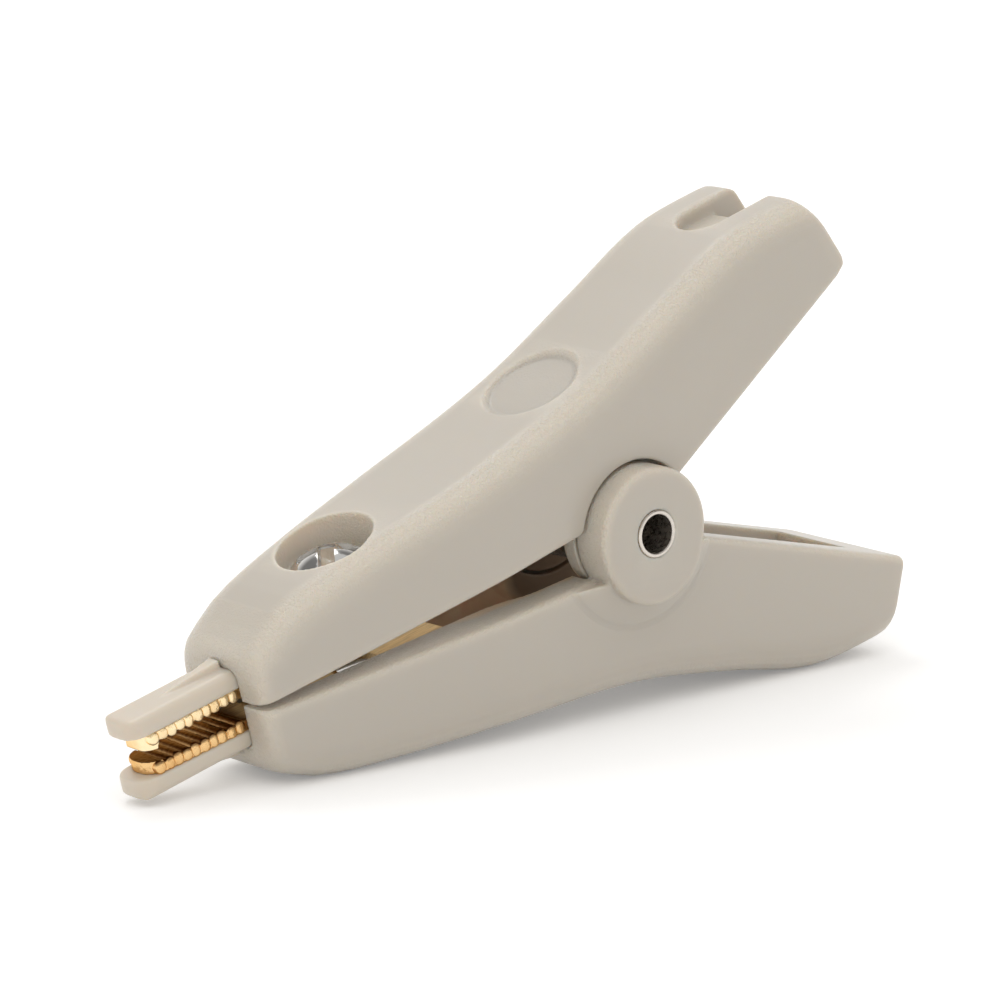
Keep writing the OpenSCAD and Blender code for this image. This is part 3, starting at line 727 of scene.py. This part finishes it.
@dataclass
class ToothedContact(MouldedPiece):
    """A contact bar with a row of rounded teeth, with painted shade where the two bars face each other."""

    jaw: JawFrame = UPPER_JAW
    teeth: int = 10
    first_x: float = 1.81
    row_l: float = 8.89
    lip_l: float = 2.75
    lip_z: float = 0.1
    tooth_w: float = 4.1
    top_z: float = 1.62
    bite_z: float = 0.56
    swell: Point = (1.32, 1.04, 1.28)
    bar_points: tuple[int, int, int] = (2, 9, 2)
    round_level: int = 3
    smallest: Point = (0.88, 0.98, 0.92)
    largest: Point = (1.04, 1.015, 1.05)
    size_seed: int = 4
    lean: Point = (0.03, 0.08, 0.05)
    lean_seed: int = 9

    def build(self) -> bpy.types.Object:
        """Return the bar with its teeth, in metres.

        The lower jaw's frame is mirrored, so its faces are turned over while they are in it.
        """
        obj = super().build()
        place = self.jaw.matrix()
        scaled(obj, 1 / MM)
        obj.data.transform(place.inverted())
        if self.jaw.body is Body.LOWER:
            obj.data.flip_normals()
        for vertex in obj.data.vertices:
            if vertex.co.x < self.lip_l:
                vertex.co.z = max(vertex.co.z, self.lip_z)
        pitch = self.row_l / self.teeth
        tooth = (pitch, self.tooth_w, self.top_z - self.bite_z)
        self.row_tree().run(
            obj, Count=self.teeth, Pitch=pitch, Start=self.first_x + pitch / 2,
            Size=tuple(length * swell for length, swell in zip(tooth, self.swell)),
            Middle=(self.top_z + self.bite_z) / 2, Material=self.finish.material(),
        )
        smooth_shaded(obj)
        self.mark_bite_shade(obj)
        obj.data.transform(place)
        if self.jaw.body is Body.LOWER:
            obj.data.flip_normals()
        scaled(obj, MM)
        return obj

    def row_tree(self) -> Grower:
        """Return the tree that sets a row of rounded bars into the side of the given bar."""
        tree = Grower("tooth_row", {
            "Count": "NodeSocketInt", "Pitch": "NodeSocketFloat", "Start": "NodeSocketFloat",
            "Size": "NodeSocketVector", "Middle": "NodeSocketFloat", "Material": "NodeSocketMaterial",
        })
        given = tree.given
        start = tree.add("ShaderNodeCombineXYZ", {0: given["Start"], 2: given["Middle"]}).outputs[0]
        step = tree.add("ShaderNodeCombineXYZ", {0: given["Pitch"]}).outputs[0]
        line = tree.add("GeometryNodeMeshLine", {
            "Count": given["Count"], "Start Location": start, "Offset": step})
        points = dict(zip(("Vertices X", "Vertices Y", "Vertices Z"), self.bar_points))
        bar = tree.add("GeometryNodeMeshCube", {"Size": given["Size"], **points}).outputs[0]
        round_bar = tree.add("GeometryNodeSubdivisionSurface", {
            "Mesh": bar, "Level": self.round_level}).outputs[0]
        uneven = tree.add("FunctionNodeRandomValue", {
            0: self.smallest, 1: self.largest, "Seed": self.size_seed}, data_type="FLOAT_VECTOR").outputs[0]
        back = tuple(-angle for angle in self.lean)
        lean = tree.add("FunctionNodeRandomValue", {
            0: back, 1: self.lean, "Seed": self.lean_seed}, data_type="FLOAT_VECTOR").outputs[0]
        row = tree.add("GeometryNodeInstanceOnPoints", {
            "Points": line.outputs[0], "Instance": round_bar, "Rotation": lean, "Scale": uneven}).outputs[0]
        both = tree.add("GeometryNodeJoinGeometry", {0: row})
        tree.tree.links.new(given["Geometry"], both.inputs[0])
        tree.end(both.outputs[0])
        return tree

    def mark_bite_shade(self, obj: bpy.types.Object) -> None:
        """Store how much each point of the mesh, still in the jaw frame, faces the other contact, which sets
        its painted shade.
        """
        mesh = obj.data
        marks = mesh.attributes.new(BITE_SHADE_ATTR, "FLOAT", "POINT")
        marks.data.foreach_set("value", [max(0.0, -n.vector.z) for n in mesh.vertex_normals])


@dataclass
class JawBacking(MouldedPiece):
    """A soft jaw backing whose tip may sag away from the bite along its middle."""

    jaw: JawFrame = UPPER_JAW
    sag: float = 0.0
    sag_l: float = 8.0
    half_w: float = 3.2
    outer_z: Range = (1.5, 3.0)

    def build(self) -> bpy.types.Object:
        """Return the backing, in metres."""
        obj = super().build()
        place = self.jaw.matrix()
        back = place.inverted()
        for vertex in obj.data.vertices:
            p = back @ (vertex.co / MM)
            near = max(1 - max(p.x, 0.0) / self.sag_l, 0.0)
            across = max(1 - (p.y / self.half_w) ** 2, 0.0)
            deep = part_way(p.z, *self.outer_z)
            vertex.co = (place @ Vector((p.x, p.y, p.z + self.sag * near * across * deep))) * MM
        return obj


@dataclass
class TurnedPiece:
    """A piece turned about an axis, with a cross cut into one end if it is a screw."""

    node: str
    body: Body
    finish: Finish
    slot: Slot
    place: Matrix
    profile: list[tuple[float, float]]
    cross: tuple[float, float, float, float] | None = None
    cross_turn: float = 50.0
    steps: int = 96
    edge: float = 0.07
    edge_steps: int = 3
    edge_from: float = 35.0
    crease: float = 50.0

    def build(self) -> bpy.types.Object:
        """Return the turned piece, in metres."""
        obj = linked(self.node + "_turned", self.turned_mesh())
        if self.cross:
            self.cut_cross(obj)
        bevel = obj.modifiers.new("edges", "BEVEL")
        bevel.width = self.edge
        bevel.segments = self.edge_steps
        bevel.limit_method = "ANGLE"
        bevel.angle_limit = math.radians(self.edge_from)
        baked(obj)
        obj.data.transform(self.place)
        if self.place.determinant() < 0:
            obj.data.flip_normals()
        scaled(obj, MM)
        smooth_shaded(obj, self.crease)
        return obj

    def turned_mesh(self) -> bpy.types.Mesh:
        """Return the profile spun about z, closed where it touches the axis."""
        work = bmesh.new()
        rings = []
        for r, z in self.profile:
            if r == 0:
                rings.append([work.verts.new((0, 0, z))])
                continue
            angles = [2 * math.pi * i / self.steps for i in range(self.steps)]
            rings.append([work.verts.new((r * math.cos(a), r * math.sin(a), z)) for a in angles])
        closed = self.profile[0][0] > 0
        pairs = zip(rings, rings[1:] + rings[:1]) if closed else zip(rings, rings[1:])
        for a, b in pairs:
            for i in range(self.steps):
                j = (i + 1) % self.steps
                corners = [a[i % len(a)], a[j % len(a)], b[j % len(b)], b[i % len(b)]]
                work.faces.new(list(dict.fromkeys(corners)))
        bmesh.ops.recalc_face_normals(work, faces=work.faces)
        mesh = bpy.data.meshes.new(self.node + "_turned")
        work.to_mesh(mesh)
        work.free()
        return mesh

    def cut_cross(self, obj: bpy.types.Object) -> None:
        """Cut two crossed slots, of the given length, width, floor and top, into the head."""
        length, width, floor, top = self.cross
        for k in range(2):
            work = bmesh.new()
            bmesh.ops.create_cube(work, size=1.0)
            turn = Matrix.Rotation(math.radians(self.cross_turn + 90.0 * k), 4, "Z")
            size = Matrix.Diagonal((length, width, top - floor, 1.0))
            bmesh.ops.transform(
                work, verts=work.verts, matrix=turn @ Matrix.Translation((0, 0, (top + floor) / 2)) @ size)
            mesh = bpy.data.meshes.new("slot")
            work.to_mesh(mesh)
            work.free()
            cutter = linked("slot", mesh)
            cut = obj.modifiers.new("slot", "BOOLEAN")
            cut.operation = "DIFFERENCE"
            cut.solver = "EXACT"
            cut.object = cutter
            bpy.context.view_layer.update()
            baked(obj)
            bpy.data.objects.remove(cutter)

    def dress(self) -> bpy.types.Object:
        """Build the piece and give it its finish."""
        return dressed(self.build(), self.finish, self.slot, self.body, self.node)


@dataclass
class PanHeadScrew:
    """Sizes of the screws, in the frame of their jaw."""

    along: float = 23.5
    end_z: float = 1.6
    seat_z: float = 6.25
    shank_r: float = 1.5
    head_r: float = 3.2
    rim_h: float = 0.6
    head_h: float = 2.0
    cross: tuple[float, float] = (5.2, 1.4)
    cross_depth: float = 1.1
    dome_steps: int = 12

    def piece(self, node: str, jaw: JawFrame) -> TurnedPiece:
        """Return one screw as a turned piece."""
        crown = self.head_h - self.rim_h
        dome_r = (self.head_r ** 2 + crown ** 2) / (2 * crown)
        top = self.seat_z + self.head_h
        spread = math.asin(self.head_r / dome_r)
        angles = [spread * i / self.dome_steps for i in range(self.dome_steps, -1, -1)]
        dome = [(dome_r * math.sin(a), top - dome_r * (1 - math.cos(a))) for a in angles]
        dome[-1] = (0.0, top)
        profile = [(0.0, self.end_z), (self.shank_r, self.end_z), (self.shank_r, self.seat_z),
                   (self.head_r, self.seat_z), *dome]
        place = jaw.matrix() @ Matrix.Translation((self.along, 0, 0))
        cross = (*self.cross, top - self.cross_depth, top + self.head_h)
        return TurnedPiece(node, jaw.body, STEEL, Slot.SCREW, place, profile, cross)


@dataclass
class HingeTube:
    """Thin rivet tube along the hinge axis, with soft rims."""

    outer_r: float = 2.0
    bore_r: float = 1.65
    half_l: float = 10.0

    def piece(self) -> TurnedPiece:
        """Return the tube as a turned piece."""
        ends = [(self.outer_r, -self.half_l), (self.outer_r, self.half_l)]
        bore = [(self.bore_r, self.half_l), (self.bore_r, -self.half_l)]
        place = Matrix.Rotation(math.radians(90.0), 4, "X")
        return TurnedPiece("hinge_tube", Body.LOWER, NICKEL, Slot.TUBE, place, ends + bore, edge=0.12)


@dataclass
class TorsionSpring:
    """Round wire along a coil about the hinge, with a straight leg to each half."""

    node: str = "torsion_spring"
    wire_r: float = 0.5
    coil_r: float = 3.3
    turn: float = 1530.0
    start: float = 135.0
    half_l: float = 2.475
    leg_turn: float = 45.0
    steps: int = 200
    sides: int = 16
    crease: float = 60.0

    def coil(self) -> list[Vector]:
        """Return the points of the coil, in the frame of the closed clip."""
        points = []
        for i in range(self.steps + 1):
            a = math.radians(self.start + self.turn * i / self.steps)
            y = self.half_l * (1 - 2 * i / self.steps)
            points.append(Vector((self.coil_r * math.cos(a), y, self.coil_r * math.sin(a))))
        return points

    def build(self) -> bpy.types.Object:
        """Return the wire swept along its path, in metres."""
        place = about_y(-REST_TILT)
        back = place.inverted()
        cad = [back @ (v.co / MM) for v in bpy.data.objects[self.node].data.vertices]
        coil = self.coil()
        a = math.radians(self.leg_turn)
        legs = []
        for end, sign in ((coil[0], 1), (coil[-1], -1)):
            along = Vector((math.cos(a), 0, sign * math.sin(a)))
            far = max((v - end).dot(along) for v in cad if abs(v.y - end.y) < 2 * self.wire_r)
            legs.append(end + along * far)
        path = [place @ p for p in (legs[0], *coil, legs[1])]
        mesh = bpy.data.meshes.new("spring_wire")
        mesh.from_pydata(path, [(i, i + 1) for i in range(len(path) - 1)], [])
        obj = self.sweep_tree().run(
            linked("spring_wire", mesh), Radius=self.wire_r, Sides=self.sides, Material=WIRE.material())
        scaled(obj, MM)
        smooth_shaded(obj, self.crease)
        return obj

    def sweep_tree(self) -> Grower:
        """Return the tree that turns a line of edges into round wire."""
        tree = Grower("wire_sweep", {
            "Radius": "NodeSocketFloat", "Sides": "NodeSocketInt", "Material": "NodeSocketMaterial"})
        path = tree.add("GeometryNodeMeshToCurve", {0: tree.given["Geometry"]}).outputs[0]
        ring = tree.add("GeometryNodeCurvePrimitiveCircle", {
            "Resolution": tree.given["Sides"], "Radius": tree.given["Radius"]}).outputs[0]
        wire = tree.add("GeometryNodeCurveToMesh", {
            "Curve": path, "Profile Curve": ring, "Fill Caps": True}).outputs[0]
        tree.end(wire)
        return tree

    def dress(self) -> bpy.types.Object:
        """Build the spring, left on neither half, with its place baked into its mesh."""
        obj = dressed(self.build(), WIRE, Slot.SPRING, None, self.node)
        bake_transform(obj)
        return obj


@dataclass
class Studio:
    """Floor, light and camera of the picture."""

    floor_half: float = 3000.0
    floor_tone: float = 0.93
    floor_roughness: float = 0.9
    floor_lift: float = 0.2
    sky: float = 0.74
    sky_tint: Colour = (1.0, 0.985, 0.965)
    key: float = 0.58
    key_spread: float = 80.0
    key_from: Vector = field(default_factory=lambda: Vector((-0.15, -0.25, 0.95)))
    backdrop: Vector = field(default_factory=lambda: Vector((0.621, 0.752, -0.221)))
    backdrop_edge: Range = (0.3, 0.62)
    ceiling: float = 0.22
    ceiling_edge: Range = (0.25, 0.5)
    box_at: Point = (66.0, 306.0, 512.0)
    box_size: float = 240.0
    box_watts: float = 0.56
    focal_px: float = 5000.0
    image_px: float = 1001.0
    sensor: float = 36.0
    azimuth: float = -39.54235
    elevation: float = 12.77645
    roll: float = -1.03323
    aim: Vector = field(default_factory=lambda: Vector((0.0, -9.9, 0.0)))
    aim_px: tuple[float, float] = (656.84, 533.94)
    aim_px_per_mm: float = 12.09993
    near: float = 10.0

    def build(self) -> None:
        """Set up the whole studio."""
        self.lay_floor()
        self.light()
        self.set_camera()
        bpy.context.scene.view_settings.view_transform = "Standard"

    def lay_floor(self) -> None:
        """Lay the pale floor under the lowest point of the clip."""
        low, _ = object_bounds()
        half = self.floor_half * MM
        mesh = bpy.data.meshes.new("floor")
        corners = [(-half, -half), (half, -half), (half, half), (-half, half)]
        mesh.from_pydata([(x, y, low[2]) for x, y in corners], [], [(0, 1, 2, 3)])
        floor = linked("floor", mesh)
        material = bpy.data.materials.new("floor_paper")
        material.use_nodes = True
        shader = material.node_tree.nodes["Principled BSDF"]
        shader.inputs["Base Color"].default_value = (self.floor_tone,) * 3 + (1.0,)
        shader.inputs["Roughness"].default_value = self.floor_roughness
        shader.inputs["Specular IOR Level"].default_value = 0.0
        shader.inputs["Emission Color"].default_value = (1.0, 1.0, 1.0, 1.0)
        tree = Tree(material.node_tree)
        lift = tree.math("MULTIPLY", self.seen(tree), self.floor_lift)
        tree.tree.links.new(lift, shader.inputs["Emission Strength"])
        mesh.materials.append(material)
        floor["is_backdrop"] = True

    @staticmethod
    def seen(tree: Tree) -> bpy.types.NodeSocket:
        """Return 1 for what the camera sees, straight on or in a reflection, and 0 for light on the clip."""
        rays = tree.add("ShaderNodeLightPath").outputs
        shown = tree.math("MAXIMUM", rays["Is Camera Ray"], rays["Is Glossy Ray"])
        return tree.math("MAXIMUM", shown, rays["Is Transmission Ray"])

    def light(self) -> None:
        """Fill the room with soft light, with a broad key from above and a box behind for the edges."""
        world = bpy.data.worlds.new("studio")
        bpy.context.scene.world = world
        world.use_nodes = True
        tree = Tree(world.node_tree)
        room = world.node_tree.nodes["Background"]
        room.inputs["Color"].default_value = (*self.sky_tint, 1.0)
        plain = tree.ramp(self.seen(tree), 0.0, 1.0, self.sky, 1.0)
        glossy = tree.add("ShaderNodeLightPath").outputs["Is Glossy Ray"]
        ahead = tree.add("ShaderNodeTexCoord").outputs["Generated"]
        height = tree.add("ShaderNodeSeparateXYZ", {0: ahead}).outputs[2]
        behind = tree.add("ShaderNodeVectorMath", {0: ahead, 1: self.backdrop}, operation="DOT_PRODUCT")
        paper = tree.math(
            "MAXIMUM", tree.ramp(behind.outputs["Value"], *self.backdrop_edge, 0.0, 1.0),
            tree.ramp(height, *self.ceiling_edge, 1.0, 0.0))
        shade = tree.ramp(paper, 0.0, 1.0, self.ceiling, 1.0)
        shine = tree.ramp(glossy, 0.0, 1.0, 1.0, shade)
        tree.tree.links.new(tree.math("MULTIPLY", plain, shine), room.inputs["Strength"])
        self.sun()
        self.edge_box()

    def sun(self) -> None:
        """Add the broad key light, even over the whole floor."""
        light = bpy.data.lights.new("key", "SUN")
        light.energy = self.key
        light.angle = math.radians(self.key_spread)
        linked("key", light).matrix_world = self.key_from.to_track_quat("Z", "Y").to_matrix().to_4x4()

    def edge_box(self) -> None:
        """Add the square lamp above and behind the clip, which faces it."""
        light = bpy.data.lights.new("edge_box", "AREA")
        light.size = self.box_size * MM
        light.energy = self.box_watts
        at = Vector(self.box_at) * MM
        turn = at.to_track_quat("Z", "Y").to_matrix().to_4x4()
        linked("edge_box", light).matrix_world = Matrix.Translation(at) @ turn

    def set_camera(self) -> None:
        """Stand the camera where the near end of the tube falls on its pixel."""
        turn, rise, tip = (math.radians(a) for a in (self.azimuth, self.elevation, self.roll))
        back = Vector((math.sin(turn) * math.cos(rise), -math.cos(turn) * math.cos(rise), math.sin(rise)))
        level = Vector((math.cos(turn), math.sin(turn), 0.0))
        upright = back.cross(level)
        right = level * math.cos(tip) + upright * math.sin(tip)
        up = back.cross(right)
        across, down = (p - self.image_px / 2 for p in self.aim_px)
        depth = self.focal_px / self.aim_px_per_mm
        place = self.aim + back * depth + (up * down - right * across) / self.aim_px_per_mm
        data = bpy.data.cameras.new("photo_camera")
        data.sensor_width = self.sensor
        data.lens = self.focal_px * self.sensor / self.image_px
        data.clip_start = self.near * MM
        camera = linked("photo_camera", data)
        axes = Matrix((right, up, back)).transposed().to_4x4()
        camera.matrix_world = Matrix.Translation(place * MM) @ axes
        bpy.context.scene.camera = camera


def main() -> None:
    """Load the frame, dress every piece and set up the studio."""
    logging.basicConfig(level=logging.INFO, format="%(name)s: %(message)s")
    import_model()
    Studio().build()
    shell = {"cell": 0.12, "ease_passes": 8, "keep": 0.15}
    finger = {"cell": 0.1, "ease_passes": 36}
    bar = {"cell": 0.08, "ease_passes": 3}
    pieces = [
        MouldedPiece("upper_handle", Body.UPPER, HANDLE, Slot.HANDLE, **shell),
        MouldedPiece("lower_handle", Body.LOWER, HANDLE, Slot.HANDLE, **shell, rims=True),
        JawBacking("upper_jaw_backing", Body.UPPER, BACKING, Slot.BACKING, **finger, jaw=UPPER_JAW),
        JawBacking("lower_jaw_backing", Body.LOWER, BACKING, Slot.BACKING, **finger, jaw=LOWER_JAW, sag=0.3),
        ToothedContact("upper_contact", Body.UPPER, GOLD, Slot.GOLD, **bar, jaw=UPPER_JAW),
        ToothedContact("lower_contact", Body.LOWER, SHADED_GOLD, Slot.GOLD, **bar, jaw=LOWER_JAW, lip_z=0.5),
        PanHeadScrew().piece("upper_screw", UPPER_JAW),
        PanHeadScrew().piece("lower_screw", LOWER_JAW),
        HingeTube().piece(),
        TorsionSpring(),
    ]
    for piece in pieces:
        piece.dress()


if __name__ == "__main__":
    main()
